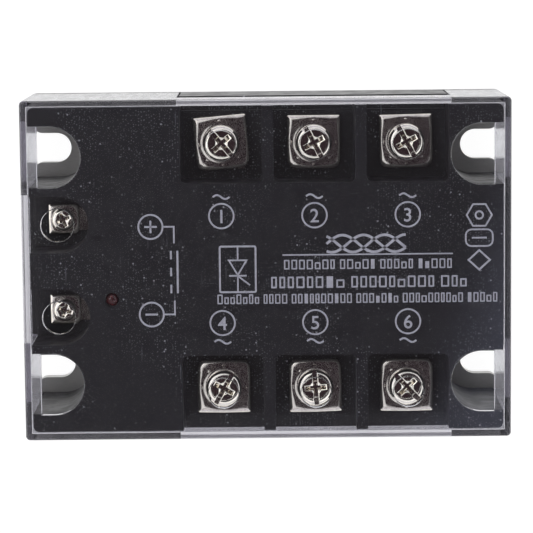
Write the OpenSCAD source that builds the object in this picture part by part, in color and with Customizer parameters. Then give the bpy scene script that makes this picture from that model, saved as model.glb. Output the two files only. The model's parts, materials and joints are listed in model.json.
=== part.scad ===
// Three-phase solid state relay for panel or heat-sink mounting.
// Origin at the centre of the base plate's underside, +Z up, +X away from the input end.

/* [Overall] */
// Length along X
body_l = 105; // [104:0.5:106]
// Width along Y
body_w = 73.5; // [73:0.5:75]
// Height from the underside to the top of the cover
body_h = 32; // [32:0.5:34]

/* [Base plate] */
// Thickness of the aluminium base plate
plate_t = 3; // [2.5:0.5:3]
// Spacing of the mounting slots along X
slot_pitch_x = 94; // [93:0.5:95]
// Spacing of the mounting slots along Y
slot_pitch_y = 49; // [48:0.5:50]
// Width of a mounting slot
slot_w = 6.6; // [5.5:0.1:7]
// Rounding of a slot's mouth
slot_mouth_r = 2.2; // [1:0.1:2.5]

/* [Cover] */
// Thickness of the cover's top plate
cover_t = 1.5; // [1.2:0.1:1.8]
// Thickness of the cover's skirt
skirt_t = 1.3; // [1:0.1:1.4]
// Clearance between the cover's skirt and the housing
cover_gap = 0.3; // [0.2:0.05:0.4]
// Clearance between the cover's top plate and the housing
top_gap = 0.4; // [0.3:0.1:0.6]
// Height of the skirt's lower edge over a wire entry
entry_top_z = 24.6; // [24.5:0.1:25]
// Diameter of a driver hole over a power terminal
power_hole_d = 6.4; // [6:0.1:7.4]
// Diameter of a driver hole over an input terminal
input_hole_d = 7; // [6:0.1:7.4]

/* [Power terminals] */
// Distance between neighbouring power terminals
bay_pitch = 20; // [19.5:0.5:20]
// X position of the middle power terminals
bay_x = 10.4; // [10:0.1:10.8]
// Width of a terminal bay
bay_w = 17.5; // [17:0.1:17.5]
// Distance of the power screws from the long centre line
power_y = 26.8; // [26.5:0.1:27]
// Top of the power bus bars
power_bar_z = 22; // [21.5:0.1:22]
// Side of a power clamp plate
power_clamp_w = 11.6; // [11:0.1:11.8]
// Diameter of a power screw's head
power_head_d = 7.8; // [7.4:0.1:8]
// Nominal thread diameter of a power screw
power_thread_d = 4; // [3.5:0.5:4]

/* [Input terminals] */
// X position of the input screws
input_x = -44.4; // [-44.6:0.1:-44.2]
// Distance of the input screws from the long centre line
input_y = 10; // [9.8:0.1:10.2]
// Top of the input bus bars
input_bar_z = 17.5; // [17:0.1:18]
// Diameter of an input screw's head
input_head_d = 4.8; // [4.5:0.1:5.5]
// Nominal thread diameter of an input screw
input_thread_d = 3; // [2.5:0.5:3]

/* [Status light] */
// Diameter of the status LED
led_d = 3; // [2.8:0.1:3]

/* [Hidden] */
$fn = 64;
eps = 0.01;

// Housing
cover_under_z = body_h - cover_t;
housing_top_z = cover_under_z - top_gap;
flange_h = 2;
flange_top_z = plate_t + flange_h;
plate_inset = 0.2;
block_inset = skirt_t + cover_gap;
block_l = body_l - 2 * block_inset;
block_w = body_w - 2 * block_inset;
corner_r = 1.2;
wall_t = 1.6;
roof_t = 2;
cavity_top_z = housing_top_z - roof_t;
cover_corner_r = 1;
cover_inner_r = 0.2;

// Mounting slot wells
well_x = body_l / 2 - 6.3;
well_y = slot_pitch_y / 2 + 0.1;
well_r = 6.6;
cut_flat_x = body_l / 2 - 3.6;

// Power bays
bay_inner_y = 18.7;
bay_corner_r = 1.2;
bay_step_y = 33.7;
bar_end_y = 32.4;
bar_t = 1.5;
bar_w = 10;
bay_floor_z = power_bar_z - bar_t;
entry_wall_z = bay_floor_z - 0.7;
bay_ceiling_z = bay_floor_z - 2;
entry_x0 = bay_x - bay_pitch - bay_w / 2 - 0.85;
entry_x1 = bay_x + bay_pitch + bay_w / 2 + 0.85;
entry_gap = 0.4;
power_nut_w = 7;
power_nut_h = 3.2;
power_screw_depth = 8;
power_boss_w = 10.4;
leg_gap = 0.15;

// Input pockets
pocket_r = 6.1;
input_bar_t = 1;
input_bar_w = 5;
input_floor_z = input_bar_z - input_bar_t;
input_entry_y = 16.2;
input_nut_w = 5.5;
input_nut_h = 2.4;
input_screw_depth = 6;
input_boss_w = 8.6;

// Clamps and screws
power_clamp_t = 1;
power_dish_h = 0.6;
power_dish_r = 5.2;
power_rib_w = 0.5;
input_clamp_w = 6.7;
input_clamp_t = 0.8;
input_dish_h = 0.3;
input_dish_r = 2.9;
input_rib_w = 0.3;
rib_end_gap = 0.3;
run_gap = 0.05;
power_head_h = 2.6;
input_head_h = 2;
power_slot_w = 1.1;
power_slot_depth = 1.1;
power_cross_r = 2.4;
input_slot_w = 0.75;
input_cross_r = 1.6;
cross_depth = 1.7;
power_turns = [41, 28, 28, -29, 4, 43];
input_turns = [24, -18];
clamp_turns = [5, 0, 1, 0, 1, 0];

// Inner parts
board_t = 1.6;
board_top_z = input_floor_z;
board_x0 = -36.4;
board_x1 = 45;
board_w = 31;
substrate_l = 30;
substrate_w = 16;
substrate_t = 1.2;
die_w = 9;
die_t = 0.4;
die_y = 4.8;
foot_t = 1.2;
leg_w = 8;
leg_y = 21.1;
foot_y = 10.6;
pot_top_z = 9;
strap_t = 0.5;
pin_w = 0.6;
post_r = 2;
post_x = [board_x0 + 14, board_x1 - 3];
post_y = board_w / 2 - 2.5;
led_x = -33.4;
led_y = -6.3;
led_top_z = housing_top_z + 0.2;
substrate_top_z = plate_t + substrate_t;
die_top_z = substrate_top_z + die_t;

// Terminals 1 to 3 are on the +Y side, 4 to 6 on the -Y side, both counted along +X
function phase_x(i) = bay_x + bay_pitch * (i - 1);
function terminal_x(n) = phase_x((n - 1) % 3);
function terminal_side(n) = n <= 3 ? 1 : -1;

// ---- Shared shapes ----

// Rectangle with rounded corners
module rounded_rect(l, w, r) {
  square([l - 2 * r, w], center = true);
  square([l, w - 2 * r], center = true);
  for (sx = [-1, 1], sy = [-1, 1])
    translate([sx * (l / 2 - r), sy * (w / 2 - r)]) circle(r);
}

module rounded_block(l, w, r, z0, z1) {
  translate([0, 0, z0]) linear_extrude(z1 - z0) rounded_rect(l, w, r);
}

module span_block(x0, x1, y0, y1, z0, z1) {
  translate([x0, y0, z0]) cube([x1 - x0, y1 - y0, z1 - z0]);
}

module at_power(n) {
  translate([terminal_x(n), terminal_side(n) * power_y, 0])
    rotate(terminal_side(n) > 0 ? 0 : 180) children();
}

module at_input(side) {
  translate([input_x, side * input_y, 0]) children();
}

module four_corners() {
  for (sx = [-1, 1], sy = [-1, 1]) scale([sx, sy, 1]) children();
}

// Outline of a mounting slot in the base plate, open at the +X end
module slot_outline() {
  slot_x = slot_pitch_x / 2;
  mouth_x = body_l / 2 - plate_inset;
  slot_r = slot_w / 2;
  translate([slot_x, slot_pitch_y / 2]) {
    circle(slot_r);
    translate([0, -slot_r]) square([mouth_x - slot_x + 1, slot_w]);
    for (s = [-1, 1]) difference() {
      translate([mouth_x - slot_x - slot_mouth_r, s > 0 ? slot_r - eps : -slot_r - slot_mouth_r])
        square([slot_mouth_r + 1, slot_mouth_r + eps]);
      translate([mouth_x - slot_x - slot_mouth_r, s * (slot_r + slot_mouth_r)])
        circle(slot_mouth_r);
    }
  }
}

// Outline of the well around a mounting slot, open at the +X end
module well_outline(grow) {
  translate([well_x, well_y]) {
    circle(well_r + grow);
    translate([0, -well_r - grow]) square([body_l / 2 - well_x + 1, 2 * (well_r + grow)]);
  }
}

// Outline of an input pocket, open at the -X end
module pocket_outline(side, grow) {
  translate([input_x + 0.1, side * input_y]) {
    circle(pocket_r + grow);
    translate([-body_l / 2 + 40, -pocket_r - grow])
      square([body_l / 2 - 40, 2 * (pocket_r + grow)]);
  }
}

// Outline of a terminal bay, open at the +Y side, with rounded inner corners
module bay_outline() {
  for (s = [-1, 1])
    translate([s * (bay_w / 2 - bay_corner_r), bay_inner_y + bay_corner_r]) circle(bay_corner_r);
  translate([-bay_w / 2, bay_inner_y + bay_corner_r])
    square([bay_w, body_w / 2 - bay_inner_y]);
  translate([-bay_w / 2 + bay_corner_r, bay_inner_y])
    square([bay_w - 2 * bay_corner_r, body_w / 2 - bay_inner_y]);
}

// ---- Base plate and housing ----

module base_plate() {
  color("silver")
    linear_extrude(plate_t) difference() {
      rounded_rect(body_l - 2 * plate_inset, body_w - 2 * plate_inset, corner_r);
      four_corners() slot_outline();
    }
}

module housing_outside() {
  rounded_block(body_l, body_w, corner_r, plate_t, flange_top_z);
  rounded_block(block_l, block_w, corner_r, flange_top_z - eps, housing_top_z);
  for (s = [-1, 1])
    scale([1, s, 1])
      span_block(entry_x0 + entry_gap, entry_x1 - entry_gap, block_w / 2 - 1, body_w / 2,
        flange_top_z - eps, entry_wall_z);
  span_block(-body_l / 2, -block_l / 2 + 1, -input_entry_y + entry_gap,
    input_entry_y - entry_gap, flange_top_z - eps, input_floor_z - 0.7);
}

// Nut pocket, screw clearance and bar slot under one power terminal
module power_seat() {
  translate([-power_nut_w / 2, -power_nut_w / 2, bay_floor_z - power_nut_h])
    cube([power_nut_w, power_nut_w, power_nut_h + eps]);
  translate([0, 0, power_bar_z + 1.6 - power_screw_depth - 1])
    cylinder(h = power_screw_depth, r = power_thread_d / 2 + 0.4);
  translate([-leg_w / 2, leg_y - power_y, bay_ceiling_z - 1])
    cube([leg_w, bar_t, bay_floor_z - bay_ceiling_z + 2]);
}

module input_seat() {
  translate([-input_nut_w / 2, -input_nut_w / 2, input_floor_z - input_nut_h])
    cube([input_nut_w, input_nut_w, input_nut_h + eps]);
  translate([0, 0, input_bar_z + 1.1 - input_screw_depth - 1])
    cylinder(h = input_screw_depth, r = input_thread_d / 2 + 0.3);
  translate([0, -input_bar_w / 2, input_floor_z])
    cube([board_x0 - input_x + 1, input_bar_w, input_bar_t]);
}

// Everything that stays solid inside the cavity
module cavity_keepouts() {
  four_corners()
    translate([0, 0, plate_t - 1]) linear_extrude(body_h) well_outline(wall_t);
  for (s = [-1, 1]) scale([1, s, 1])
    span_block(entry_x0 - wall_t, entry_x1 + wall_t, bay_inner_y - wall_t, body_w,
      bay_ceiling_z, body_h);
  for (n = [1:6]) at_power(n)
    span_block(-power_boss_w / 2, power_boss_w / 2, leg_y + bar_t + leg_gap - power_y,
      power_boss_w / 2, bay_floor_z - power_nut_h - 4, bay_floor_z);
  for (side = [-1, 1]) {
    translate([0, 0, input_floor_z - 2]) linear_extrude(body_h) pocket_outline(side, wall_t);
    at_input(side) translate([-input_boss_w / 2, -input_boss_w / 2, input_floor_z - 6])
      cube([input_boss_w, input_boss_w, 6]);
  }
  for (x = post_x, y = [-1, 1])
    translate([x, y * post_y, board_top_z]) cylinder(h = body_h, r = post_r);
}

module cavity() {
  difference() {
    span_block(-block_l / 2 + wall_t, block_l / 2 - wall_t, -block_w / 2 + wall_t,
      block_w / 2 - wall_t, plate_t - 1, cavity_top_z);
    cavity_keepouts();
  }
}

module housing() {
  color([0.13, 0.13, 0.15]) difference() {
    housing_outside();
    cavity();
    four_corners()
      translate([0, 0, plate_t - 1]) linear_extrude(body_h) well_outline(0);
    for (n = [1:6]) {
      translate([terminal_x(n), 0, bay_floor_z])
        scale([1, terminal_side(n), 1]) linear_extrude(body_h) bay_outline();
      translate([terminal_x(n), 0, 0]) scale([1, terminal_side(n), 1])
        span_block(-bay_w / 2, bay_w / 2, bay_step_y, body_w, entry_wall_z, body_h);
      at_power(n) power_seat();
    }
    for (side = [-1, 1]) {
      translate([0, 0, input_floor_z]) linear_extrude(body_h) pocket_outline(side, 0);
      at_input(side) input_seat();
    }
    translate([led_x, led_y, cavity_top_z - 1]) cylinder(h = body_h, r = led_d / 2);
  }
}

// ---- Terminals ----

module power_terminal(n) {
  color([0.85, 0.83, 0.8]) at_power(n) difference() {
    union() {
      span_block(-bar_w / 2, bar_w / 2, leg_y - power_y, bar_end_y - power_y,
        bay_floor_z, power_bar_z);
      span_block(-leg_w / 2, leg_w / 2, leg_y - power_y, leg_y + bar_t - power_y,
        substrate_top_z, bay_floor_z + eps);
      span_block(-leg_w / 2, leg_w / 2, foot_y - power_y, leg_y + eps - power_y,
        substrate_top_z, substrate_top_z + foot_t);
    }
    translate([0, 0, bay_floor_z - 1]) cylinder(h = bar_t + 2, r = power_thread_d / 2 + 0.3);
  }
}

module input_terminal(side) {
  color([0.85, 0.83, 0.8]) at_input(side) difference() {
    span_block(-3.2, board_x0 - input_x + 3, -input_bar_w / 2, input_bar_w / 2,
      input_floor_z, input_bar_z);
    translate([0, 0, input_floor_z - 1])
      cylinder(h = input_bar_t + 2, r = input_thread_d / 2 + 0.3);
  }
}

module square_nut(w, h, bore_r, z_top) {
  translate([0, 0, z_top - h]) difference() {
    translate([-w / 2, -w / 2, 0]) cube([w, w, h]);
    translate([0, 0, -1]) cylinder(h = h + 2, r = bore_r);
  }
}

module power_nuts() {
  color("gray") for (n = [1:6]) at_power(n)
    square_nut(power_nut_w, power_nut_h, power_thread_d / 2 + run_gap, bay_floor_z);
}

module input_nuts() {
  color("gray") for (side = [-1, 1]) at_input(side)
    square_nut(input_nut_w, input_nut_h, input_thread_d / 2 + run_gap, input_floor_z);
}

// Square clamp plate with a pressed dish and a rib across each side; the corners
// towards -Y are rounded
module clamp_plate(w, t, dish_h, dish_r, bore_r, rib_w) {
  inner_r = w / 6;
  difference() {
    union() {
      linear_extrude(t) {
        for (s = [-1, 1]) translate([s * (w / 2 - inner_r), -w / 2 + inner_r]) circle(inner_r);
        translate([-w / 2, -w / 2 + inner_r]) square([w, w - inner_r]);
        translate([-w / 2 + inner_r, -w / 2]) square([w - 2 * inner_r, w / 2]);
      }
      translate([0, 0, t - eps]) cylinder(h = dish_h + eps, r1 = dish_r, r2 = dish_r - dish_h);
      for (a = [0:90:270]) rotate(a)
        translate([dish_r - dish_h, -rib_w / 2, t - eps])
          cube([w / 2 - dish_r + dish_h - rib_end_gap, rib_w, rib_w / 2]);
    }
    translate([0, 0, -1]) cylinder(h = t + dish_h + 2, r = bore_r);
  }
}

module power_clamp(n) {
  color("gainsboro") at_power(n) rotate(clamp_turns[n - 1]) translate([0, 0, power_bar_z])
    clamp_plate(power_clamp_w, power_clamp_t, power_dish_h, power_dish_r,
      power_thread_d / 2 + run_gap, power_rib_w);
}

module input_clamp(side) {
  color("gainsboro") at_input(side) rotate(90) translate([0, 0, input_bar_z])
    clamp_plate(input_clamp_w, input_clamp_t, input_dish_h, input_dish_r,
      input_thread_d / 2 + run_gap, input_rib_w);
}

// Pan head screw with a straight slot and a cross recess, head seat at z = 0
module pan_screw(head_d, head_h, thread_d, depth, turn, slot_w, cross_r, slot_depth) {
  head_r = head_d / 2;
  rim_h = head_h * 0.42;
  crown_h = head_h - rim_h;
  steps = 10;
  crown = [for (i = [0:steps])
    [head_r * cos(90 * i / steps), rim_h + crown_h * sin(90 * i / steps)]];
  difference() {
    union() {
      rotate_extrude() polygon(concat([[0, 0], [head_r, 0]], crown));
      translate([0, 0, -depth]) cylinder(h = depth + eps, r = thread_d / 2);
    }
    rotate(turn) {
      if (slot_depth > 0)
        translate([-slot_w / 2, -head_r - 1, head_h - slot_depth])
          cube([slot_w, 2 * head_r + 2, slot_depth + 1]);
      for (a = [0, 90]) rotate(a)
        translate([-slot_w / 2, -cross_r, head_h - cross_depth])
          cube([slot_w, 2 * cross_r, cross_depth + 1]);
    }
  }
}

module power_screw(n) {
  color("silver") at_power(n)
    translate([0, 0, power_bar_z + power_clamp_t + power_dish_h])
      pan_screw(power_head_d, power_head_h, power_thread_d, power_screw_depth,
        power_turns[n - 1], power_slot_w, power_cross_r, power_slot_depth);
}

module input_screw(side) {
  color("silver") at_input(side)
    translate([0, 0, input_bar_z + input_clamp_t + input_dish_h])
      pan_screw(input_head_d, input_head_h, input_thread_d, input_screw_depth,
        input_turns[side > 0 ? 0 : 1], input_slot_w, input_cross_r, 0);
}

// ---- Inner parts ----

module ceramic_substrate(i) {
  color("white") span_block(phase_x(i) - substrate_w / 2, phase_x(i) + substrate_w / 2,
    -substrate_l / 2, substrate_l / 2, plate_t, substrate_top_z);
}

module thyristor(n) {
  x = terminal_x(n);
  y = terminal_side(n) * die_y;
  color("dimgray")
    span_block(x - die_w / 2, x + die_w / 2, y - die_w / 2 + 0.2, y + die_w / 2 - 0.2,
      substrate_top_z, die_top_z);
}

// Copper strap from each die to the foot of its bus bar
module thyristor_straps() {
  foot_top_z = substrate_top_z + foot_t;
  color("peru") for (n = [1:6]) scale([1, terminal_side(n), 1]) translate([terminal_x(n), 0, 0]) {
    span_block(-2.5, 2.5, die_y - 3, die_y + 3, die_top_z, die_top_z + strap_t);
    span_block(-2.5, 2.5, die_y + 2, die_y + 3, die_top_z, foot_top_z + strap_t);
    span_block(-2.5, 2.5, die_y + 2, foot_y + 2, foot_top_z, foot_top_z + strap_t);
  }
}

module gate_leads() {
  color("gold") for (n = [1:6]) scale([1, terminal_side(n), 1])
    span_block(terminal_x(n) + 3.2, terminal_x(n) + 3.2 + pin_w, die_y - pin_w / 2,
      die_y + pin_w / 2, die_top_z, board_top_z + 1);
}

module control_board() {
  color("darkgreen") difference() {
    span_block(board_x0, board_x1, -board_w / 2, board_w / 2, board_top_z - board_t,
      board_top_z);
    for (n = [1:6]) scale([1, terminal_side(n), 1])
      span_block(terminal_x(n) + 3.2, terminal_x(n) + 3.2 + pin_w, die_y - pin_w / 2,
        die_y + pin_w / 2, 0, body_h);
  }
}

module optocoupler(i) {
  color("ivory") translate([phase_x(i), 0, board_top_z]) {
    span_block(-3.2, 3.2, -4.3, 4.3, 0.5, 4);
    for (s = [-1, 1], y = [-2.54, 0, 2.54]) scale([s, 1, 1])
      span_block(3.2 - eps, 3.9, y - 0.25, y + 0.25, 0, 2.2);
  }
}

module snubber_capacitor(i) {
  color("gold") translate([phase_x(i), 9.6, board_top_z])
    span_block(-6.5, 2.6, -2.5, 2.5, 0, 10);
}

module snubber_resistor(i) {
  color("steelblue") translate([phase_x(i), -9.6, board_top_z + 2.6]) {
    rotate([0, 90, 0]) cylinder(h = 9, r = 1.9, center = true);
    for (s = [-1, 1]) scale([s, 1, 1]) {
      span_block(4.5 - eps, 6.2, -0.3, 0.3, -0.3, 0.3);
      span_block(5.6, 6.2, -0.3, 0.3, -2.6, 0);
    }
  }
}

module driver_transistor() {
  color("dimgray") translate([-27, -9, board_top_z]) {
    translate([0, 0, 2]) linear_extrude(4.8) difference() {
      circle(2.4);
      translate([-3, -4.4]) square([6, 3]);
    }
    for (x = [-1.27, 0, 1.27]) span_block(x - 0.2, x + 0.2, -0.2, 0.2, 0, 2 + eps);
  }
}

module polarity_diode() {
  color("dimgray") translate([-29, 5, board_top_z + 1.6]) {
    rotate([90, 0, 0]) cylinder(h = 5, r = 1.3, center = true);
    for (s = [-1, 1]) scale([1, s, 1]) {
      span_block(-0.3, 0.3, 2.5 - eps, 4.4, -0.3, 0.3);
      span_block(-0.3, 0.3, 3.8, 4.4, -1.6, 0);
    }
  }
}

module limit_resistors() {
  color("tan") for (y = [0, 4, 8]) translate([-21.5, y, board_top_z + 1.4]) {
    rotate([0, 90, 0]) cylinder(h = 5, r = 1.1, center = true);
    for (s = [-1, 1]) scale([s, 1, 1]) {
      span_block(2.5 - eps, 3.8, -0.25, 0.25, -0.25, 0.25);
      span_block(3.3, 3.8, -0.25, 0.25, -1.4, 0);
    }
  }
}

module status_led() {
  r = led_d / 2 - 0.05;
  dome_z = led_top_z - r;
  color("darkred") translate([led_x, led_y, 0]) {
    translate([0, 0, dome_z]) intersection() {
      sphere(r);
      translate([-r, -r, 0]) cube([2 * r, 2 * r, r]);
    }
    translate([0, 0, dome_z - 3.6]) cylinder(h = 3.6 + eps, r = r);
    for (s = [-1, 1])
      span_block(s * 0.9 - 0.25, s * 0.9 + 0.25, -0.25, 0.25, board_top_z, dome_z - 3.5);
  }
}

module potting_compound() {
  color([0.9, 0.9, 0.86]) difference() {
    intersection() {
      cavity();
      span_block(-body_l, body_l, -body_w, body_w, plate_t, pot_top_z);
    }
    for (i = [0:2]) ceramic_substrate(i);
    for (n = [1:6]) {
      thyristor(n);
      power_terminal(n);
    }
    thyristor_straps();
    gate_leads();
  }
}

// ---- Cover ----

module cover() {
  color([0.85, 0.9, 0.95, 0.4]) difference() {
    rounded_block(body_l, body_w, cover_corner_r, flange_top_z, body_h);
    rounded_block(body_l - 2 * skirt_t, body_w - 2 * skirt_t, cover_inner_r, 0, cover_under_z);
    span_block(entry_x0, entry_x1, -body_w, body_w, 0, entry_top_z);
    span_block(-body_l, 0, -input_entry_y, input_entry_y, 0, entry_top_z);
    for (n = [1:6]) at_power(n) cylinder(h = body_h + 1, d = power_hole_d);
    for (side = [-1, 1]) at_input(side)
      translate([-0.4, 0, 0]) cylinder(h = body_h + 1, d = input_hole_d);
    four_corners() translate([0, 0, cover_under_z - 1]) linear_extrude(body_h) intersection() {
      well_outline(0);
      square([cut_flat_x, body_w]);
    }
  }
}

base_plate();
housing();
potting_compound();
for (i = [0:2]) {
  ceramic_substrate(i);
  optocoupler(i);
  snubber_capacitor(i);
  snubber_resistor(i);
}
for (n = [1:6]) {
  thyristor(n);
  power_terminal(n);
  power_clamp(n);
  power_screw(n);
}
thyristor_straps();
gate_leads();
control_board();
driver_transistor();
polarity_diode();
limit_resistors();
status_led();
input_terminal(1);  // input_terminal_plus
input_terminal(-1);  // input_terminal_minus
power_nuts();
input_nuts();
cover();
input_clamp(1);  // input_clamp_plus
input_clamp(-1);  // input_clamp_minus
input_screw(1);  // input_screw_plus
input_screw(-1);  // input_screw_minus
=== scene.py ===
"""Looks of a three-phase solid state relay with a clear cover, seen from above.

Lengths are in metres; MM turns a number of millimetres into metres.
"""

import json
import math
import random

import bmesh
import bpy
from mathutils import Matrix, Vector

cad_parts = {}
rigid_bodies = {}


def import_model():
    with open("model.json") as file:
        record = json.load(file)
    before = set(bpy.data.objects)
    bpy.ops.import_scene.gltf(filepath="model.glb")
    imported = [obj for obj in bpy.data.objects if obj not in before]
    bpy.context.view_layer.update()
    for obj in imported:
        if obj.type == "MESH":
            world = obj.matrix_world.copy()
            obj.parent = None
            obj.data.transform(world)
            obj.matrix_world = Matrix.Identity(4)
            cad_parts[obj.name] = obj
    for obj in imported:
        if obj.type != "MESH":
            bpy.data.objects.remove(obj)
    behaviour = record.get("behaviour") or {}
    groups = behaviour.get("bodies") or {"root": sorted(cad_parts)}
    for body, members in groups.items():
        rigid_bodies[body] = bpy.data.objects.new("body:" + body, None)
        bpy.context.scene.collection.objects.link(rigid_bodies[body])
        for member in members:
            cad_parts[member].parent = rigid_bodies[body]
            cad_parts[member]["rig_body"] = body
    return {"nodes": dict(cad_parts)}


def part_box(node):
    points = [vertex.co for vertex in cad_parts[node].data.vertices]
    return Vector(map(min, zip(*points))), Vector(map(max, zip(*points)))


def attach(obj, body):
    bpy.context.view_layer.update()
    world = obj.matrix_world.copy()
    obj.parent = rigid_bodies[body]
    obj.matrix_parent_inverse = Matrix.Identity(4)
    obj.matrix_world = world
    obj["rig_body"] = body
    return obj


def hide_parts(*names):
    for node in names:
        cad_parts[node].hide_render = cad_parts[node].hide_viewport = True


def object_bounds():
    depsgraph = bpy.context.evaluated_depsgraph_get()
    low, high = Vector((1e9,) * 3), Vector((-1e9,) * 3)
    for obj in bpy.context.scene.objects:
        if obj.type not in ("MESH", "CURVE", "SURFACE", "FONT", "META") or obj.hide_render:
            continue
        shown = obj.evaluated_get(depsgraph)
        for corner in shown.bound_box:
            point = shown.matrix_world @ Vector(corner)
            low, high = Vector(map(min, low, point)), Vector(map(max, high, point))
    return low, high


MM = 0.001

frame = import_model()
cad_low, cad_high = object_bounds()

PHASES = (1, 2, 3)
POWER_TERMINALS = range(1, 7)
INPUT_SIDES = ("plus", "minus")
WELD_GAP = 0.002 * MM
SHARP_ANGLE = math.radians(35)
CLEAR_IOR = 1.585


def centre(node):
    """The middle of the CAD node's box."""
    low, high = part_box(node)
    return (low + high) / 2


housing_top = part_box("housing")[1].z
phase_x = [centre(f"thyristor_{n}").x for n in PHASES]


# ---- Material building ----


class Nodes:
    """Short calls that add shader nodes to one node tree."""

    def __init__(self, tree):
        self.tree = tree

    def add(self, kind, **inputs):
        node = self.tree.nodes.new(kind)
        for socket, value in inputs.items():
            self.feed(node.inputs[socket.replace("_", " ")], value)
        return node

    def feed(self, socket, value):
        if isinstance(value, bpy.types.NodeSocket):
            self.tree.links.new(value, socket)
        else:
            socket.default_value = value

    def dot(self, vector, axis):
        """How far vector reaches along axis."""
        node = self.add("ShaderNodeVectorMath")
        node.operation = "DOT_PRODUCT"
        self.feed(node.inputs[0], vector)
        node.inputs[1].default_value = axis
        return node.outputs["Value"]

    def times(self, a, b):
        node = self.add("ShaderNodeMath")
        node.operation = "MULTIPLY"
        self.feed(node.inputs[0], a)
        self.feed(node.inputs[1], b)
        return node.outputs["Value"]

    def span(self, value, low, high, start=0.3, end=0.7):
        """value from start..end brought to low..high, and held at both ends."""
        node = self.add("ShaderNodeMapRange", Value=value)
        node.interpolation_type = "SMOOTHSTEP"
        sockets = ("From Min", "From Max", "To Min", "To Max")
        for socket, number in zip(sockets, (start, end, low, high)):
            node.inputs[socket].default_value = number
        return node.outputs["Result"]

    def mix(self, share, first, second):
        """Two colours blended; share is how much of the second one shows."""
        node = self.add("ShaderNodeMix")
        node.data_type = "RGBA"
        self.feed(node.inputs["Factor"], share)
        for socket, colour in ((node.inputs[6], first), (node.inputs[7], second)):
            self.feed(socket, colour if isinstance(colour, bpy.types.NodeSocket) else (*colour, 1))
        return node.outputs[2]


class Surface(Nodes):
    """A Principled material whose detail comes from noise in the piece's own space."""

    def __init__(self, name, **values):
        self.material = bpy.data.materials.new(name)
        self.material.use_nodes = True
        super().__init__(self.material.node_tree)
        self.shader = self.tree.nodes["Principled BSDF"]
        self.space = self.add("ShaderNodeTexCoord").outputs["Object"]
        for socket, value in values.items():
            self.shader.inputs[socket.replace("_", " ")].default_value = value

    def stretched(self, scale, turn=0.0):
        """The piece's own space, scaled along each axis and turned about Z."""
        node = self.add("ShaderNodeMapping", Vector=self.space, Scale=scale, Rotation=(0, 0, turn))
        return node.outputs["Vector"]

    def noise(self, size, detail=2.0, vector=None):
        """Noise from 0 to 1 whose lumps are about size across."""
        node = self.add("ShaderNodeTexNoise", Vector=vector or self.space, Scale=1 / size, Detail=detail)
        return node.outputs["Fac"]

    def upward(self):
        """1 where the surface lies flat and faces up or down, 0 on walls."""
        normal = self.add("ShaderNodeNewGeometry").outputs["Normal"]
        rise = self.add("ShaderNodeSeparateXYZ", Vector=normal).outputs["Z"]
        return self.span(self.times(rise, rise), 0, 1, 0.4, 0.8)

    def specks(self, spacing, size, keep, vector=None):
        """Small dots scattered over X and Y, 1 in a dot and 0 elsewhere; keep is the share that show."""
        node = self.add("ShaderNodeTexVoronoi")
        node.voronoi_dimensions = "2D"
        self.feed(node.inputs["Vector"], vector or self.space)
        node.inputs["Scale"].default_value = 1 / spacing
        dots = self.span(node.outputs["Distance"], 1, 0, 0.4 * size / spacing, size / spacing)
        chance = self.add("ShaderNodeSeparateColor", Color=node.outputs["Color"])
        return self.times(dots, self.span(chance.outputs["Red"], 0, 1, 1 - keep, 1 - 0.6 * keep))

    def colour(self, value):
        self.feed(self.shader.inputs["Base Color"], value)
        return self

    def rough(self, value):
        self.feed(self.shader.inputs["Roughness"], value)
        return self

    def bump(self, height, depth):
        """Surface relief; depth is the real height of the relief."""
        node = self.add("ShaderNodeBump", Height=height, Distance=depth)
        before = self.shader.inputs["Normal"]
        if before.links:
            self.feed(node.inputs["Normal"], before.links[0].from_socket)
        self.feed(before, node.outputs["Normal"])
        return self


# ---- Materials ----


def moulded_black():
    """Black moulded plastic with a fine grain, a painted bluish sheen towards +X, hair scratches and pale
    dust.
    """
    s = Surface("moulded_black_plastic")
    dark, light = (0.0056, 0.005, 0.008), (0.008, 0.0074, 0.0108)
    painted_sheen_tint, scratch_tint = (0.05, 0.053, 0.073), (0.16, 0.16, 0.19)
    fine_tint, coarse_tint = (0.24, 0.24, 0.27), (0.5, 0.5, 0.55)
    plain = s.mix(s.span(s.noise(9 * MM, 3), 0, 1), dark, light)
    # painted sheen: the far +X end is tinted lighter and bluish, as if light were glancing off the plastic
    painted_sheen = s.span(s.dot(s.space, (1, -0.35, 0)), 0, 1, 38 * MM, 60 * MM)
    tinted = s.mix(painted_sheen, plain, painted_sheen_tint)
    dusty_areas = s.times(s.span(s.noise(13 * MM, 4), 0.16, 1, 0.4, 0.62), s.upward())
    for angle, spacing in ((38, 3.4 * MM), (-50, 2.6 * MM)):
        stretched = s.stretched((1, 0.06, 1), math.radians(angle))
        scratch = s.specks(spacing, 0.15 * MM, 0.35, stretched)
        tinted = s.mix(s.times(scratch, s.times(dusty_areas, 0.55)), tinted, scratch_tint)
    fine = s.times(s.specks(0.55 * MM, 0.15 * MM, 0.45), dusty_areas)
    coarse = s.times(s.specks(2.2 * MM, 0.26 * MM, 0.32), dusty_areas)
    tinted = s.mix(s.times(fine, 0.7), tinted, fine_tint)
    s.colour(s.mix(s.times(coarse, 0.7), tinted, coarse_tint))
    s.rough(s.span(s.noise(3 * MM, 4), 0.3, 0.44))
    return s.bump(s.noise(0.16 * MM, 2), 0.0035 * MM).material


def clear_plastic():
    """Clear polycarbonate, faintly wavy from the mould."""
    tint = (0.9, 0.905, 0.93, 1)
    s = Surface("clear_polycarbonate", Base_Color=tint, Transmission_Weight=0.997, IOR=CLEAR_IOR)
    s.rough(s.span(s.noise(5 * MM, 3), 0.012, 0.03))
    return s.bump(s.noise(7 * MM, 1), 0.006 * MM).material


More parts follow.
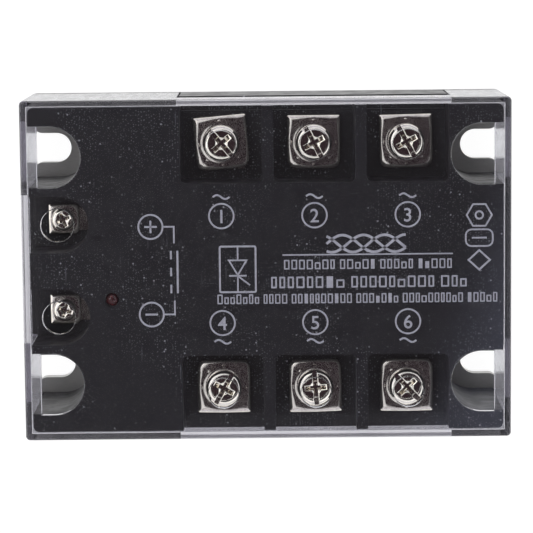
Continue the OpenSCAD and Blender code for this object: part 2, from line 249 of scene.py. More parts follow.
def edge_plastic(name, tint, clearness, rough):
    """The same plastic seen edge-on, hazy and faintly purple, with the tint and clearness given; on the
    walls and on the rims by the flange the darker tint is painted shade.
    """
    s = Surface(name, Base_Color=(*tint, 1), Transmission_Weight=clearness, IOR=CLEAR_IOR)
    s.rough(s.span(s.noise(1.5 * MM, 3, s.stretched((1, 1, 0.2))), *rough))
    return s.bump(s.noise(4 * MM, 1), 0.003 * MM).material


def plated_metal(name, tint, rough, wave):
    """Bright plating with faint pits and smears; wave is the height of its waves in millimetres."""
    s = Surface(name, Metallic=1.0)
    darker = tuple(0.8 * c for c in tint)
    s.colour(s.mix(s.span(s.noise(1.6 * MM, 4), 0, 1, 0.35, 0.75), tint, darker))
    s.rough(s.span(s.noise(0.7 * MM, 4), *rough))
    s.bump(s.noise(2.2 * MM, 1), wave * MM)
    return s.bump(s.noise(0.12 * MM, 2), 0.0006 * MM).material


def brushed_metal(name, tint, rough):
    """Rolled metal with fine lines along X."""
    s = Surface(name, Metallic=1.0)
    lines = s.noise(0.05 * MM, 2, s.stretched((0.03, 1, 1)))
    darker = tuple(0.84 * c for c in tint)
    s.colour(s.mix(s.span(lines, 0, 1), tint, darker))
    s.rough(s.span(s.noise(2 * MM, 3), *rough))
    return s.bump(lines, 0.0015 * MM).material


def dull_solid(name, light, dark, rough, grain, depth, **values):
    """A plain solid such as ceramic, epoxy or a printed board, mottled in colour and gloss.

    grain is the size of its finest lumps and depth is their height, both in millimetres.
    """
    s = Surface(name, **values)
    s.colour(s.mix(s.span(s.noise(6 * grain * MM, 4), 0, 1), light, dark))
    s.rough(s.span(s.noise(4 * grain * MM, 3), *rough))
    return s.bump(s.noise(grain * MM, 3), depth * MM).material


black = moulded_black()
clear = clear_plastic()
# painted shade: the walls are darker and less clear than the top plate, so they show less of the bright
# floor; their haze is real
hazy_wall_painted_shade = edge_plastic("clear_plastic_wall_painted_shade", (0.8, 0.79, 0.85), 0.965, (0.15, 0.21))
entry_rim = edge_plastic("frosted_entry_rim", (0.75, 0.73, 0.8), 0.6, (0.3, 0.4))
# painted shade: the rims on the flange are dark and nearly opaque, standing for the shade there; their
# frosting is real
flange_rim_painted_shade = edge_plastic("frosted_rim_painted_shade", (0.3, 0.28, 0.36), 0.05, (0.35, 0.5))
nickel = plated_metal("nickel_plating", (0.9, 0.85, 0.78), (0.08, 0.15), wave=0.012)
screw_steel = plated_metal("nickel_plated_screw", (0.95, 0.91, 0.84), (0.05, 0.11), wave=0.005)
nut_steel = plated_metal("zinc_plated_nut", (0.62, 0.63, 0.64), (0.25, 0.42), wave=0.004)
bar_metal = brushed_metal("tinned_bar", (0.5, 0.47, 0.43), (0.12, 0.22))
aluminium = brushed_metal("machined_aluminium", (0.5, 0.5, 0.49), (0.34, 0.46))
copper = brushed_metal("rolled_copper", (0.83, 0.42, 0.26), (0.22, 0.38))
print_ink = dull_solid(
    "printed_ink", (0.62, 0.62, 0.7), (0.5, 0.5, 0.58), (0.5, 0.65), grain=0.2, depth=0.002)
led_red = dull_solid(
    "red_lens", (0.05, 0.003, 0.005), (0.03, 0.002, 0.004), (0.12, 0.24), grain=0.4, depth=0.002,
    Coat_Weight=0.2)
ceramic = dull_solid(
    "alumina_ceramic", (0.82, 0.81, 0.77), (0.7, 0.69, 0.66), (0.45, 0.6), grain=0.1, depth=0.004)
silicon = dull_solid(
    "silicon_die", (0.05, 0.055, 0.065), (0.02, 0.022, 0.03), (0.12, 0.25), grain=0.3, depth=0.002)
potting = dull_solid(
    "potting_gel", (0.72, 0.72, 0.68), (0.6, 0.6, 0.57), (0.18, 0.35), grain=1.5, depth=0.02)
board_green = dull_solid(
    "printed_board", (0.012, 0.1, 0.035), (0.008, 0.07, 0.028), (0.25, 0.4), grain=0.15, depth=0.004)
film_yellow = dull_solid(
    "capacitor_case", (0.62, 0.4, 0.05), (0.52, 0.32, 0.035), (0.3, 0.45), grain=0.25, depth=0.006)
resistor_blue = dull_solid(
    "resistor_body", (0.08, 0.2, 0.32), (0.06, 0.15, 0.26), (0.35, 0.5), grain=0.2, depth=0.006)
resistor_tan = dull_solid(
    "small_resistor_body", (0.5, 0.34, 0.19), (0.42, 0.28, 0.15), (0.4, 0.55), grain=0.2, depth=0.006)
epoxy_black = dull_solid(
    "epoxy_case", (0.03, 0.03, 0.032), (0.018, 0.018, 0.02), (0.4, 0.55), grain=0.12, depth=0.006)
coupler_white = dull_solid(
    "coupler_case", (0.7, 0.68, 0.6), (0.6, 0.58, 0.52), (0.4, 0.5), grain=0.15, depth=0.005)


# ---- Pieces from CAD shapes ----


def add_object(name, mesh, material):
    mesh.materials.clear()
    mesh.materials.append(material)
    obj = bpy.data.objects.new(name, mesh)
    bpy.context.scene.collection.objects.link(obj)
    return obj


def split_planes():
    """Planes through the cover's holes; its faces are split there, so that none has a hole inside it.

    A plane across Y lies a little inside the screws' centres, where it also crosses the mounting slots.
    """
    across_x = [*phase_x, centre("status_led").x, centre("input_screw_plus").x]
    across_y = [0.92 * centre(f"power_screw_{n}").y for n in (1, 4)]
    planes = [(Vector((1, 0, 0)), place) for place in across_x]
    return planes + [(Vector((0, 1, 0)), place) for place in across_y]


def clean_mesh(node):
    """The CAD node's faces, welded, with flat neighbours joined and its stored normals left out."""
    bm = bmesh.new()
    bm.from_mesh(frame["nodes"][node].data)
    bmesh.ops.remove_doubles(bm, verts=bm.verts, dist=WELD_GAP)
    for facing, place in split_planes():
        everything = bm.verts[:] + bm.edges[:] + bm.faces[:]
        made = bmesh.ops.bisect_plane(
            bm, geom=everything, plane_co=facing * place, plane_no=facing, dist=1e-7)
        for part in made["geom_cut"]:
            if isinstance(part, bmesh.types.BMEdge):
                part.seam = True
    bmesh.ops.dissolve_limit(
        bm, angle_limit=math.radians(0.4), verts=bm.verts, edges=bm.edges, delimit={"SEAM"})
    bm.verts.index_update()
    points = [v.co for v in bm.verts]
    faces = [[v.index for v in face.verts] for face in bm.faces]
    mesh = bpy.data.meshes.new(node)
    mesh.from_pydata(points, [], faces)
    bm.free()
    return mesh


def weigh_edges(mesh, share_of):
    """Stores how much of the rounding each edge gets: share_of(its two ends), or 0 where it isn't sharp."""
    bm = bmesh.new()
    bm.from_mesh(mesh)
    bm.normal_update()
    layer = bm.edges.layers.float.new("bevel_weight_edge")
    for edge in bm.edges:
        sharp = len(edge.link_faces) == 2 and edge.calc_face_angle(0) > SHARP_ANGLE
        edge[layer] = share_of(edge.verts[0].co, edge.verts[1].co) if sharp else 0
    bm.to_mesh(mesh)
    bm.free()


def stand_for(piece, node):
    """piece rides on the CAD node's body and stands for that node."""
    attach(piece, frame["nodes"][node]["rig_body"])
    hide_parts(node)


def soften(node, material, width, segments=2, share_of=None):
    """A piece with the CAD node's shape and rounded edges, which stands for that node."""
    piece = add_object(node + "_moulded", clean_mesh(node), material)
    piece.data.shade_smooth()
    bevel = piece.modifiers.new("rounded_edges", "BEVEL")
    bevel.width = width
    bevel.segments = segments
    bevel.angle_limit = SHARP_ANGLE
    bevel.limit_method = "ANGLE"
    if share_of:
        weigh_edges(piece.data, share_of)
        bevel.limit_method = "WEIGHT"
    bevel.harden_normals = True
    stand_for(piece, node)
    return piece


def finish_cad(names, material):
    """CAD nodes whose shape is right as it is, with a better material."""
    for name in names:
        for place in frame["nodes"][name].material_slots:
            place.material = material


cover_low, cover_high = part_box("cover")


def from_side(point):
    """How far a point is from the nearest side of the cover."""
    from_x = min(point.x - cover_low.x, cover_high.x - point.x)
    from_y = min(point.y - cover_low.y, cover_high.y - point.y)
    return min(from_x, from_y)


def cover_rounding(a, b):
    """The cover's outer top edge gets most of the rounding, and every other edge less."""
    nearly_top = cover_high.z - 0.02 * MM
    outer = max(from_side(a), from_side(b)) < 1.1 * MM
    return 0.8 if outer and min(a.z, b.z) > nearly_top else 0.3


def edge_finish(mesh):
    """The cover's walls are hazy and tinted darker as painted shade, and the edges that face down are
    frosted; those low down by the flange are painted dark as shade.
    """
    mesh.materials.append(hazy_wall_painted_shade)
    mesh.materials.append(flange_rim_painted_shade)
    mesh.materials.append(entry_rim)
    wall, low_rim, high_rim = 1, 2, 3
    band = 3 * MM
    wall_reach = 1.6 * MM
    for face in mesh.polygons:
        if face.center.z > cover_high.z - band:
            continue
        if face.normal.z < -0.6:
            # downward faces low down by the flange take the dark rim of painted shade, and the rest take
            # the light entry rim
            face.material_index = low_rim if face.center.z < cover_low.z + band else high_rim
        elif from_side(face.center) < wall_reach:
            face.material_index = wall


soften("housing", black, 0.16 * MM)
cover = soften("cover", clear, 0.55 * MM, 4, cover_rounding)
edge_finish(cover.data)
cover.visible_shadow = False
soften("base_plate", aluminium, 0.2 * MM)
for n in POWER_TERMINALS:
    soften(f"power_terminal_{n}", bar_metal, 0.15 * MM)
for side in INPUT_SIDES:
    soften(f"input_terminal_{side}", bar_metal, 0.12 * MM)
for name in ("power_nuts", "input_nuts"):
    soften(name, nut_steel, 0.25 * MM)

finish_cad([f"ceramic_substrate_{n}" for n in PHASES], ceramic)
finish_cad([f"thyristor_{n}" for n in POWER_TERMINALS], silicon)
finish_cad(["thyristor_straps", "gate_leads"], copper)
finish_cad(["potting_compound"], potting)
finish_cad(["control_board"], board_green)
finish_cad([f"optocoupler_{n}" for n in PHASES], coupler_white)
finish_cad([f"snubber_capacitor_{n}" for n in PHASES], film_yellow)
finish_cad([f"snubber_resistor_{n}" for n in PHASES], resistor_blue)
finish_cad(["limit_resistors"], resistor_tan)
finish_cad(["driver_transistor", "polarity_diode"], epoxy_black)
finish_cad(["status_led"], led_red)


# ---- Clamp plates ----


def evenly_spaced(points, count):
    """count points at even steps along the closed line through points."""
    sides = list(zip(points, points[1:] + points[:1]))
    total = sum((b - a).length for a, b in sides)
    even = []
    for k in range(count):
        left = total * k / count
        for a, b in sides:
            length = (b - a).length
            if left <= length:
                even.append(a.lerp(b, left / length))
                break
            left -= length
    return even


def plate_outline(half, sharp_r, round_r, count):
    """Points around a square plate; its corners towards -Y are the rounder ones."""
    corners = ((1, 1, sharp_r), (-1, 1, sharp_r), (-1, -1, round_r), (1, -1, round_r))
    steps = 8
    points = []
    for index, (sx, sy, r) in enumerate(corners):
        middle = Vector((sx * (half - r), sy * (half - r)))
        for step in range(steps + 1):
            angle = math.radians(90 * index + 90 * step / steps)
            points.append(middle + r * Vector((math.cos(angle), math.sin(angle))))
    return evenly_spaced(points, count)


def tube_mesh(name, rings):
    """A closed mesh through rings of points, with the last ring joined to the first."""
    count = len(rings[0])
    verts = [v for one in rings for v in one]
    faces = []
    for k in range(len(rings)):
        after = (k + 1) % len(rings)
        for i in range(count):
            j = (i + 1) % count
            faces.append((k * count + i, k * count + j, after * count + j, after * count + i))
    mesh = bpy.data.meshes.new(name)
    mesh.from_pydata(verts, [], faces)
    mesh.shade_smooth()
    return mesh


def pulled_in(p, amount):
    """p moved towards the axis, so that a straight side comes in by amount."""
    return p * (1 - amount / max(abs(p.x), abs(p.y)))


def rolled_line(outline, half, thick, roll, angle):
    """One line along the rolled edge, from 0 at its foot to a quarter turn; it widens at the corners."""
    line = []
    for p in outline:
        cornered = (abs(p.x * p.y) / (half * half)) ** 1.5
        q = pulled_in(p, roll * (1 + 1.7 * cornered) * (1 - math.cos(angle)))
        fall = (0.38 + 0.42 * cornered) * (1 - math.sin(angle))
        line.append((q.x, q.y, thick * (0.99 - fall)))
    return line


def creased_line(points, half, thick, base):
    """points at the base height, with a thin raised crease where they meet either axis."""
    line = []
    for p in points:
        near = min(abs(p.x), abs(p.y)) / (0.03 * half)
        line.append((p.x, p.y, base + 0.09 * thick * math.exp(-near * near)))
    return line


def clamp_mesh(name, box_size, dish_r, dish_h, head_r, bore_r, roll):
    """A pressed clamp plate around its screw: rolled edges, a raised dish and a crease on each side.

    roll is the width of the rolled edge. The dish rises gently up to the rim of the screw's head.
    """
    half = box_size.x / 2
    thick = box_size.z - dish_h
    outline = plate_outline(half, half / 14, half / 3, 176)
    round_line = [p.normalized() for p in outline]
    rings = []

    def ring(points, z):
        rings.append([(p.x, p.y, z) for p in points])

    def circle(radius, z):
        ring([p * radius for p in round_line], z)

    small = 0.1 * thick
    ring([pulled_in(p, small) for p in outline], 0)
    ring(outline, small)
    ring(outline, 0.16 * thick)
    roll_steps = 12
    for step in range(roll_steps + 1):
        rings.append(rolled_line(outline, half, thick, roll, math.radians(90 * step / roll_steps)))
    edge = [Vector(p[:2]) for p in rings[-1]]
    for share in (0.25, 0.5, 0.75):
        between = [p.lerp(p.normalized() * dish_r, share) for p in edge]
        rings.append(creased_line(between, half, thick, thick * (0.99 + 0.01 * share)))
    circle(dish_r, thick)
    dish_steps = 12
    for step in range(1, dish_steps + 1):
        share = step / dish_steps
        rise = 0.17 * dish_h * share * share * (3 - 2 * share)
        circle(dish_r - share * (dish_r - head_r), thick + rise)
    circle(0.86 * head_r, thick + dish_h)
    circle(1.06 * bore_r, thick + dish_h)
    circle(bore_r, thick + 0.85 * dish_h)
    circle(bore_r, 0)
    return tube_mesh(name, rings)


# ---- Screws ----


def lathe(profile, steps):
    """A closed bmesh made by turning (radius, z) points about Z; the first and last are on the axis."""
    bm = bmesh.new()
    turns = [2 * math.pi * i / steps for i in range(steps)]
    rows = []
    for radius, z in profile[1:-1]:
        rows.append([bm.verts.new((radius * math.cos(t), radius * math.sin(t), z)) for t in turns])
    ends = [bm.verts.new((0, 0, profile[0][1])), bm.verts.new((0, 0, profile[-1][1]))]
    for i in range(steps):
        j = (i + 1) % steps
        bm.faces.new((ends[0], rows[0][j], rows[0][i]))
        for lower, upper in zip(rows, rows[1:]):
            bm.faces.new((lower[i], lower[j], upper[j], upper[i]))
        bm.faces.new((rows[-1][i], rows[-1][j], ends[1]))
    return bm


def add_frustum(bm, low_half, low_z, high_half, high_z, turn):
    """A tapered block centred on Z, given by the half sizes and heights of its two ends."""
    spin = Matrix.Rotation(turn, 4, "Z")
    ends = []
    for (half_x, half_y), z in ((low_half, low_z), (high_half, high_z)):
        corners = ((-half_x, -half_y, z), (half_x, -half_y, z), (half_x, half_y, z), (-half_x, half_y, z))
        ends.append([bm.verts.new(spin @ Vector(corner)) for corner in corners])
    low, high = ends
    bm.faces.new(low[::-1])
    bm.faces.new(high)
    for i in range(4):
        j = (i + 1) % 4
        bm.faces.new((low[i], low[j], high[j], high[i]))


def to_mesh(bm, name):
    mesh = bpy.data.meshes.new(name)
    bm.to_mesh(mesh)
    bm.free()
    return mesh


def cut(solid, cutters):
    """solid with each cutter taken out, as a new mesh."""
    body = bpy.data.objects.new("cut_body", solid)
    bpy.context.scene.collection.objects.link(body)
    tools = []
    for mesh in cutters:
        tool = bpy.data.objects.new("cut_tool", mesh)
        bpy.context.scene.collection.objects.link(tool)
        step = body.modifiers.new("cut", "BOOLEAN")
        step.operation = "DIFFERENCE"
        step.solver = "EXACT"
        step.object = tool
        tools.append(tool)
    ready = body.evaluated_get(bpy.context.evaluated_depsgraph_get())
    result = bpy.data.meshes.new_from_object(ready)
    for extra in [body, *tools]:
        bpy.data.objects.remove(extra)
    return result


def head_profile(radius, height):
    """(radius, z) points of a pan head: a flat top and a shoulder that grows steeper outwards."""
    edge = 0.1 * height
    flat_r = 0.74 * radius
    steps = 14
    run = (radius - flat_r) / steps
    shoulder = [(flat_r, height)]
    for k in range(steps):
        share = (k + 0.5) / steps
        slope = math.radians(11 + 62 * share * share)
        shoulder.append((flat_r + run * (k + 1), shoulder[-1][1] - run * math.tan(slope)))
    return [(0, 0), (radius - edge, 0), (radius, edge), *reversed(shoulder), (0, height)]


def pocket_cutters(top, bottom, head_h, depth, turn, flare):
    """A tapered pocket and the chamfer along its top edge; top and bottom are half sizes in X and Y."""
    above = head_h + 0.3 * MM
    out_per_rise = 1.4
    pocket = bmesh.new()
    add_frustum(pocket, bottom, head_h - depth, top, above, turn)
    reach = flare + (above - head_h) * out_per_rise
    mouth = (top[0] + reach, top[1] + reach)
    chamfer = bmesh.new()
    add_frustum(chamfer, top, head_h - flare / out_per_rise, mouth, above, turn)
    return [to_mesh(pocket, "pocket"), to_mesh(chamfer, "chamfer")]


def head_mesh(radius, height, slot_half, slot_depth, cross_r, cross_depth):
    """A pan screw head, its seat at z = 0, with a tapered cross recess.

    It has a straight slot too if slot_depth is more than 0.
    """
    flare = 0.42 * slot_half
    hub = 0.4 * cross_r
    top = (cross_r, slot_half)
    bottom = (0.5 * cross_r, 0.6 * slot_half)
    cutters = []
    for turn in (0, math.pi / 2):
        cutters += pocket_cutters(top, bottom, height, cross_depth, turn, flare)
    hub_bottom = 0.35 * hub
    cutters += pocket_cutters(
        (hub, hub), (hub_bottom, hub_bottom), height, 0.85 * cross_depth, math.pi / 4, 0.9 * slot_half)
    if slot_depth > 0:
        past_rim = 1.2 * radius
        top = (slot_half, past_rim)
        bottom = (0.9 * slot_half, past_rim)
        cutters += pocket_cutters(top, bottom, height, slot_depth, 0, flare)
    bm = bmesh.new()
    bm.from_mesh(cut(to_mesh(lathe(head_profile(radius, height), 96), "head"), cutters))
    bmesh.ops.remove_doubles(bm, verts=bm.verts, dist=WELD_GAP)
    bmesh.ops.dissolve_limit(bm, angle_limit=math.radians(0.5), verts=bm.verts, edges=bm.edges)
    return to_mesh(bm, "head")


def add_thread(bm, radius, length, pitch, top_z):
    """A threaded shank that hangs from z = top_z, with a tapered end."""
    around = 40
    rows = int(length / (pitch / 8))
    depth = 0.3 * pitch
    grid = []
    for k in range(rows + 1):
        z = top_z - length * k / rows
        taper = min(1.0, 4 * (rows - k) / rows + 0.55)
        row = []
        for i in range(around):
            wave = abs(((z / pitch + i / around) % 1) * 2 - 1)
            r = (radius - depth * wave) * taper
            angle = 2 * math.pi * i / around
            row.append(bm.verts.new((r * math.cos(angle), r * math.sin(angle), z)))
        grid.append(row)
    for upper, lower in zip(grid, grid[1:]):
        for i in range(around):
            j = (i + 1) % around
            bm.faces.new((lower[i], lower[j], upper[j], upper[i]))
    bm.faces.new(grid[0])
    bm.faces.new(grid[-1][::-1])


def screw_mesh(name, head, thread_r, shank_length, pitch):
    """The head and its threaded shank in one mesh, the head's seat at z = 0."""
    bm = bmesh.new()
    bm.from_mesh(head)
    add_thread(bm, thread_r, shank_length, pitch, 0.1 * MM)
    bm.normal_update()
    mesh = to_mesh(bm, name)
    mesh.shade_smooth()
    return mesh


def fasten(kind, label, clamp, screw, turn, clamp_turn):
    """Puts one clamp plate and its screw at their CAD places, each turned by so many degrees."""
    clamp_node = f"{kind}_clamp_{label}"
    screw_node = f"{kind}_screw_{label}"
    foot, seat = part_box(clamp_node)
    middle = centre(screw_node)
    plate = add_object(clamp_node + "_pressed", clamp.copy(), nickel)
    plate.location = (middle.x, middle.y, foot.z)
    plate.rotation_euler.z = math.radians(clamp_turn)
    bolt = add_object(screw_node + "_turned", screw.copy(), screw_steel)
    bolt.location = (middle.x, middle.y, seat.z)
    bolt.rotation_euler.z = math.radians(turn)
    bevel = bolt.modifiers.new("rounded_edges", "BEVEL")
    bevel.width = 0.05 * MM
    bevel.segments = 2
    bevel.limit_method = "ANGLE"
    bevel.angle_limit = math.radians(40)
    bolt.modifiers.new("flat_faces", "WEIGHTED_NORMAL")
    stand_for(plate, clamp_node)
    stand_for(bolt, screw_node)


def fastener_meshes(kind, label, head_h, thread_r, pitch, head, plate):
    """The clamp plate and the screw of one kind, sized from the CAD boxes of the one called label."""
    low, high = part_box(f"{kind}_clamp_{label}")
    screw_low, screw_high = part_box(f"{kind}_screw_{label}")
    shank = screw_high.z - screw_low.z - head_h
    top = head_mesh((screw_high.x - screw_low.x) / 2, head_h, **head)
    screw = screw_mesh(f"{kind}_screw", top, thread_r, shank, pitch)
    return clamp_mesh(f"{kind}_clamp", high - low, **plate), screw


# Turns in degrees from square on, in the order of the terminals.
POWER_TURNS = [41, 28, 28, -29, 4, 43]
CLAMP_TURNS = [5, 0, 1, 0, 1, 0]
INPUT_TURNS = {"plus": 24, "minus": -18}

power_clamp, power_screw = fastener_meshes(
    "power", 2, head_h=2.6 * MM, thread_r=2 * MM, pitch=0.7 * MM,
    head={"slot_half": 0.52 * MM, "slot_depth": 1.1 * MM, "cross_r": 2.35 * MM, "cross_depth": 1.7 * MM},
    plate={"dish_r": 4.75 * MM, "dish_h": 0.6 * MM, "head_r": 3.85 * MM, "bore_r": 2.1 * MM,
           "roll": 0.85 * MM})
for n, turn, clamp_turn in zip(POWER_TERMINALS, POWER_TURNS, CLAMP_TURNS):
    outward = 0 if n <= 3 else 180
    fasten("power", n, power_clamp, power_screw, outward + turn, outward + clamp_turn)

input_clamp, input_screw = fastener_meshes(
    "input", "plus", head_h=2 * MM, thread_r=1.5 * MM, pitch=0.5 * MM,
    head={"slot_half": 0.35 * MM, "slot_depth": 0, "cross_r": 1.6 * MM, "cross_depth": 1.35 * MM},
    plate={"dish_r": 2.75 * MM, "dish_h": 0.3 * MM, "head_r": 2.3 * MM, "bore_r": 1.6 * MM,
           "roll": 0.5 * MM})
for side in INPUT_SIDES:
    fasten("input", side, input_clamp, input_screw, INPUT_TURNS[side], 90)


# ---- Printed markings ----

INK_H = 0.03 * MM


class Print:
    """Flat ink strokes on the housing's top, gathered into one closed mesh."""

    def __init__(self, name):
        self.name = name
        self.bm = bmesh.new()

    def stroke(self, points, width, closed=False):
        """A ribbon of ink along points on the housing's top, mitred where it bends."""
        sharpest_mitre = 0.35
        points = [Vector(p) for p in points]
        count = len(points)
        rows = []
        for i, p in enumerate(points):
            before = points[i - 1] if closed or i > 0 else p
            after = points[(i + 1) % count] if closed or i < count - 1 else p
            first = (p - before).normalized() if p != before else (after - p).normalized()
            second = (after - p).normalized() if after != p else first
            along = (first + second).normalized()
            across = Vector((-along.y, along.x)) * (width / 2) / max(sharpest_mitre, along.dot(first))
            corners = []
            for side_of in (across, -across):
                for z in (housing_top, housing_top + INK_H):
                    corners.append(self.bm.verts.new((*(p + side_of), z)))
            rows.append(corners)
        pairs = list(zip(rows, rows[1:])) + ([(rows[-1], rows[0])] if closed else [])
        for a, b in pairs:
            for i, j in ((0, 1), (1, 3), (3, 2), (2, 0)):
                self.bm.faces.new((a[i], a[j], b[j], b[i]))
        if not closed:
            self.bm.faces.new([rows[0][i] for i in (0, 2, 3, 1)])
            self.bm.faces.new([rows[-1][i] for i in (0, 1, 3, 2)])

    def ring(self, x, y, radius, width, sides=56):
        turns = [2 * math.pi / sides * i for i in range(sides)]
        points = [(x + radius * math.cos(t), y + radius * math.sin(t)) for t in turns]
        self.stroke(points, width, closed=True)

    def wave(self, x, y, length, height, width, cycles=1.0, phase=0.0):
        """A sine wave centred on x, y; height is how far it swings to each side."""
        steps = int(24 * max(1, cycles))
        points = []
        for i in range(steps + 1):
            share = i / steps
            swing = math.sin(2 * math.pi * cycles * share + phase)
            points.append((x + length * (share - 0.5), y + height * swing))
        self.stroke(points, width)

    def box(self, x0, y0, x1, y1, width, corner):
        """The outline of a rectangle with small rounded corners."""
        left, right = x0 + corner, x1 - corner
        low, high = y0 + corner, y1 - corner
        points = []
        for index, (cx, cy) in enumerate(((right, high), (left, high), (left, low), (right, low))):
            for step in range(4):
                angle = math.radians(90 * index + 30 * step)
                points.append((cx + corner * math.cos(angle), cy + corner * math.sin(angle)))
        self.stroke(points, width, closed=True)

    def number(self, text, x, y, height):
        """A digit in Blender's own font, centred on x, y."""
        digit_height_share = 0.73
        curve = bpy.data.curves.new("digit", "FONT")
        curve.body = text
        curve.size = height / digit_height_share
        curve.align_x = "CENTER"
        curve.extrude = INK_H / 2
        curve.offset = 0.012 * height
        holder = bpy.data.objects.new("digit", curve)
        bpy.context.scene.collection.objects.link(holder)
        ready = holder.evaluated_get(bpy.context.evaluated_depsgraph_get())
        mesh = bpy.data.meshes.new_from_object(ready)
        mesh.transform(Matrix.Translation((x, y - height / 2, housing_top + INK_H / 2)))
        self.bm.from_mesh(mesh)
        bpy.data.objects.remove(holder)

    def done(self):
        bmesh.ops.remove_doubles(self.bm, verts=self.bm.verts, dist=0.0005 * MM)
        bmesh.ops.recalc_face_normals(self.bm, faces=self.bm.faces)
        piece = add_object(self.name, to_mesh(self.bm, self.name), print_ink)
        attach(piece, "base")
        return piece


def terminal_marks():
    """A circled number at each power terminal, with the sign for alternating current beside it."""
    ink = Print("terminal_numbers")
    number_y = 11.6 * MM
    sign_y = 15.7 * MM
    for n in POWER_TERMINALS:
        x = phase_x[(n - 1) % 3] - 0.05 * MM
        side = 1 if n <= 3 else -1
        ink.ring(x, side * number_y, 2.65 * MM, 0.36 * MM)
        ink.number(str(n), x, side * number_y, 3 * MM)
        ink.wave(x, side * sign_y, 3.6 * MM, 0.42 * MM, 0.4 * MM)
    ink.done()


def input_marks():
    """Plus and minus in circles, joined by a bracket with the sign for direct current."""
    ink = Print("input_signs")
    bold, thin = 0.42 * MM, 0.36 * MM
    x, y_plus, y_minus = -24.9 * MM, 9.4 * MM, -9.6 * MM
    arm = 1.35 * MM
    for y in (y_plus, y_minus):
        ink.ring(x, y, 2.6 * MM, 0.38 * MM)
        ink.stroke([(x - arm, y), (x + arm, y)], bold)
    ink.stroke([(x, y_plus - arm), (x, y_plus + arm)], bold)
    left, right = x + 2.8 * MM, x + 5 * MM
    ink.stroke([(left, y_plus), (right, y_plus), (right, y_plus - 3.6 * MM)], thin)
    ink.stroke([(left, y_minus), (right, y_minus), (right, y_minus + 3 * MM)], thin)
    top, bottom = y_plus - 5.2 * MM, y_minus + 4.6 * MM
    line_x, dash_x = right + 0.7 * MM, right - 0.7 * MM
    ink.stroke([(line_x, bottom), (line_x, top)], bold)
    dash = (top - bottom) / 5
    for k in range(3):
        start = bottom + 2 * k * dash
        ink.stroke([(dash_x, start), (dash_x, start + dash)], bold)
    ink.done()


def blank_row(ink, rng, x0, x1, y, height, words, width):
    """A row of blank boxes in groups, in place of a line of lettering.

    A few of the boxes are low and a few are filled in. words is how many boxes each group has.
    """
    letters = [rng.uniform(0.8, 1.15) for _ in range(sum(words))]
    low_share, filled_share, low_height = 0.2, 0.12, 0.72
    gap, space = 0.34, 0.95
    total = sum(letters) + gap * sum(count - 1 for count in words) + space * (len(words) - 1)
    unit = (x1 - x0) / total
    x = x0
    index = 0
    for count in words:
        for _ in range(count):
            wide = letters[index] * unit
            tall = height * (1 if rng.random() < 1 - low_share else low_height)
            if rng.random() < filled_share:
                ink.stroke([(x + 0.1 * wide, y + tall / 2), (x + 0.9 * wide, y + tall / 2)], tall)
            else:
                half = width / 2
                ink.box(x + half, y + half, x + wide - half, y + tall - half, width, 0.02 * wide)
            x += wide + gap * unit
            index += 1
        x += (space - gap) * unit


def thyristor_sign(ink):
    """A plain thyristor sign in a frame: a triangle on a bar, its leads, and a slanting gate."""
    left, right, low, high = -10.1 * MM, -2.4 * MM, -4.9 * MM, 5 * MM
    ink.box(left, low, right, high, 0.4 * MM, 0.3 * MM)
    line = 0.34 * MM
    lead_gap = 0.2 * MM
    x, across = (left + right) / 2, 1.9 * MM
    base_y, tip_y, bar_y = 2 * MM, -1.2 * MM, -1.35 * MM
    ink.stroke([(x, high - lead_gap), (x, base_y)], line)
    ink.stroke([(x - across, base_y), (x + across, base_y), (x, tip_y)], line, True)
    ink.stroke([(x - across, bar_y), (x + across, bar_y)], 0.36 * MM)
    ink.stroke([(x, tip_y), (x, low + lead_gap)], line)
    ink.stroke([(x + 0.15 * MM, -1.5 * MM), (x + 2.6 * MM, -3.4 * MM)], line)


def title_marks():
    """Three-phase waves over a rule, rows of blank boxes, and the thyristor sign."""
    ink = Print("title_signs")
    rng = random.Random(5)
    for k in range(3):
        ink.wave(21.4 * MM, 5.4 * MM, 17 * MM, 1.85 * MM, 0.56 * MM, 1.25, 2 * math.pi * k / 3)
    rule_y = 3.05 * MM
    ink.stroke([(3.4 * MM, rule_y), (40 * MM, rule_y)], 0.3 * MM)
    blank_row(ink, rng, 3.7 * MM, 39.8 * MM, -0.1 * MM, 2.1 * MM, (7, 5, 5, 5), 0.3 * MM)
    blank_row(ink, rng, 0.9 * MM, 43 * MM, -4.15 * MM, 2.5 * MM, (8, 9, 3), 0.36 * MM)
    blank_row(ink, rng, -10.7 * MM, 49.6 * MM, -7.5 * MM, 2.1 * MM, (7, 4, 10, 7, 10, 5), 0.28 * MM)
    thyristor_sign(ink)
    ink.done()


def corner_marks():
    """Three plain outlines in a column: a hexagon, a rounded box and a diamond."""
    ink = Print("corner_signs")
    x = 45.7 * MM
    thin = 0.36 * MM
    hexagon_y = 11.3 * MM
    ink.ring(x, hexagon_y, 2.7 * MM, thin, 6)
    ink.ring(x, hexagon_y, 0.8 * MM, 0.4 * MM, 24)
    box_y, box_half_x, box_half_y, dash_half = 6.4 * MM, 2.9 * MM, 1.8 * MM, 1.6 * MM
    ink.box(x - box_half_x, box_y - box_half_y, x + box_half_x, box_y + box_half_y, thin, 1.2 * MM)
    ink.stroke([(x - dash_half, box_y), (x + dash_half, box_y)], thin)
    y, half_x, half_y = 1.6 * MM, 2.3 * MM, 2.1 * MM
    ink.stroke([(x - half_x, y), (x, y + half_y), (x + half_x, y), (x, y - half_y)], 0.4 * MM, True)
    ink.done()


terminal_marks()
input_marks()
title_marks()
corner_marks()


# ---- Floor, light and camera ----


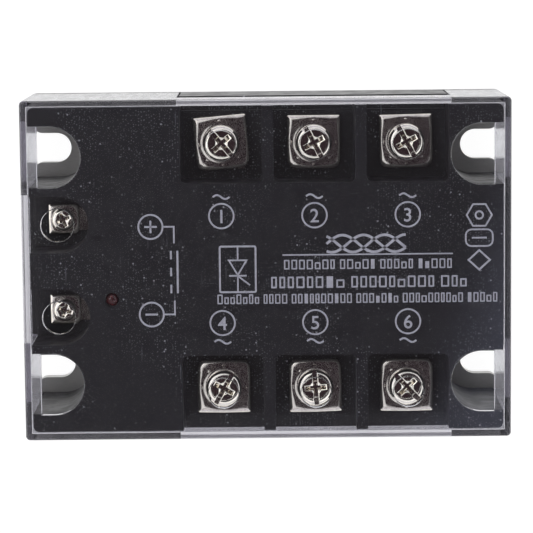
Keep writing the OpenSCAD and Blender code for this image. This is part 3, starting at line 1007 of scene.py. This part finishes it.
def floor():
    """A pale floor just under the relay."""
    s = Surface("pale_floor", Roughness=0.9, Emission_Color=(1, 1, 1, 1), Emission_Strength=0.95)
    s.colour(s.mix(s.noise(60 * MM), (0.1, 0.1, 0.1), (0.12, 0.12, 0.12)))
    mesh = bpy.data.meshes.new("floor")
    reach = 3.0
    z = cad_low.z - 0.02 * MM
    corners = ((-1, -1), (1, -1), (1, 1), (-1, 1))
    mesh.from_pydata([(reach * sx, reach * sy, z) for sx, sy in corners], [], [(0, 1, 2, 3)])
    add_object("floor", mesh, s.material)


def sky():
    """A bright room with a dim, faintly warm patch overhead, a little to the right of the middle."""
    world = bpy.data.worlds.new("studio")
    bpy.context.scene.world = world
    world.use_nodes = True
    sky_nodes = Nodes(world.node_tree)
    towards = sky_nodes.add("ShaderNodeTexCoord").outputs["Generated"]

    def facing(axis, start, end):
        """0 to 1 as the direction turns towards axis, from start to end degrees away from it."""
        nearness = sky_nodes.dot(towards, Vector(axis).normalized())
        return sky_nodes.span(nearness, 0, 1, math.cos(math.radians(start)), math.cos(math.radians(end)))

    room = sky_nodes.mix(facing((0, 0, 1), 82, 66), (0.86, 0.86, 0.88), (1.04, 1.04, 1.04))
    dim_patch = (0.0305, 0.0205, 0.0252)
    ceiling = sky_nodes.mix(facing((0.2, -0.03, 1), 29, 25), room, dim_patch)
    sky_nodes.feed(world.node_tree.nodes["Background"].inputs["Color"], ceiling)


def soft_light(name, place, size, power, colour):
    """A square area light that faces the object."""
    light = bpy.data.lights.new(name, "AREA")
    light.size = size
    light.energy = power
    light.color = colour
    lamp = bpy.data.objects.new(name, light)
    bpy.context.scene.collection.objects.link(lamp)
    lamp.location = place
    lamp.rotation_euler = (-Vector(place)).to_track_quat("-Z", "Y").to_euler()


def camera():
    """Looks down on the relay through a long lens, from a little towards +Y."""
    target = Vector((-0.06, 0.77, 32)) * MM
    distance = 537.5 * MM
    tilt, yaw, roll = math.radians(7.225), math.radians(0.59), math.radians(0.561)
    back = Vector((math.sin(tilt) * math.sin(yaw), math.sin(tilt) * math.cos(yaw), math.cos(tilt)))
    up = Vector((math.sin(roll), math.cos(roll), 0))
    right = up.cross(back).normalized()
    above = back.cross(right)
    data = bpy.data.cameras.new("camera")
    data.sensor_width = 36
    data.lens = 169.2
    data.clip_start, data.clip_end = 0.01, 20
    cam = bpy.data.objects.new("camera", data)
    bpy.context.scene.collection.objects.link(cam)
    turned = Matrix((right, above, back)).transposed().to_4x4()
    cam.matrix_world = Matrix.Translation(target + back * distance) @ turned
    bpy.context.scene.camera = cam


floor()
sky()
soft_light("key", (-0.9, 0.35, 0.8), 1.3, 3, (1, 0.98, 0.95))
soft_light("fill", (0.9, -0.5, 0.7), 1.3, 1.5, (0.92, 0.95, 1))
camera()
bpy.context.scene.view_settings.view_transform = "Standard"
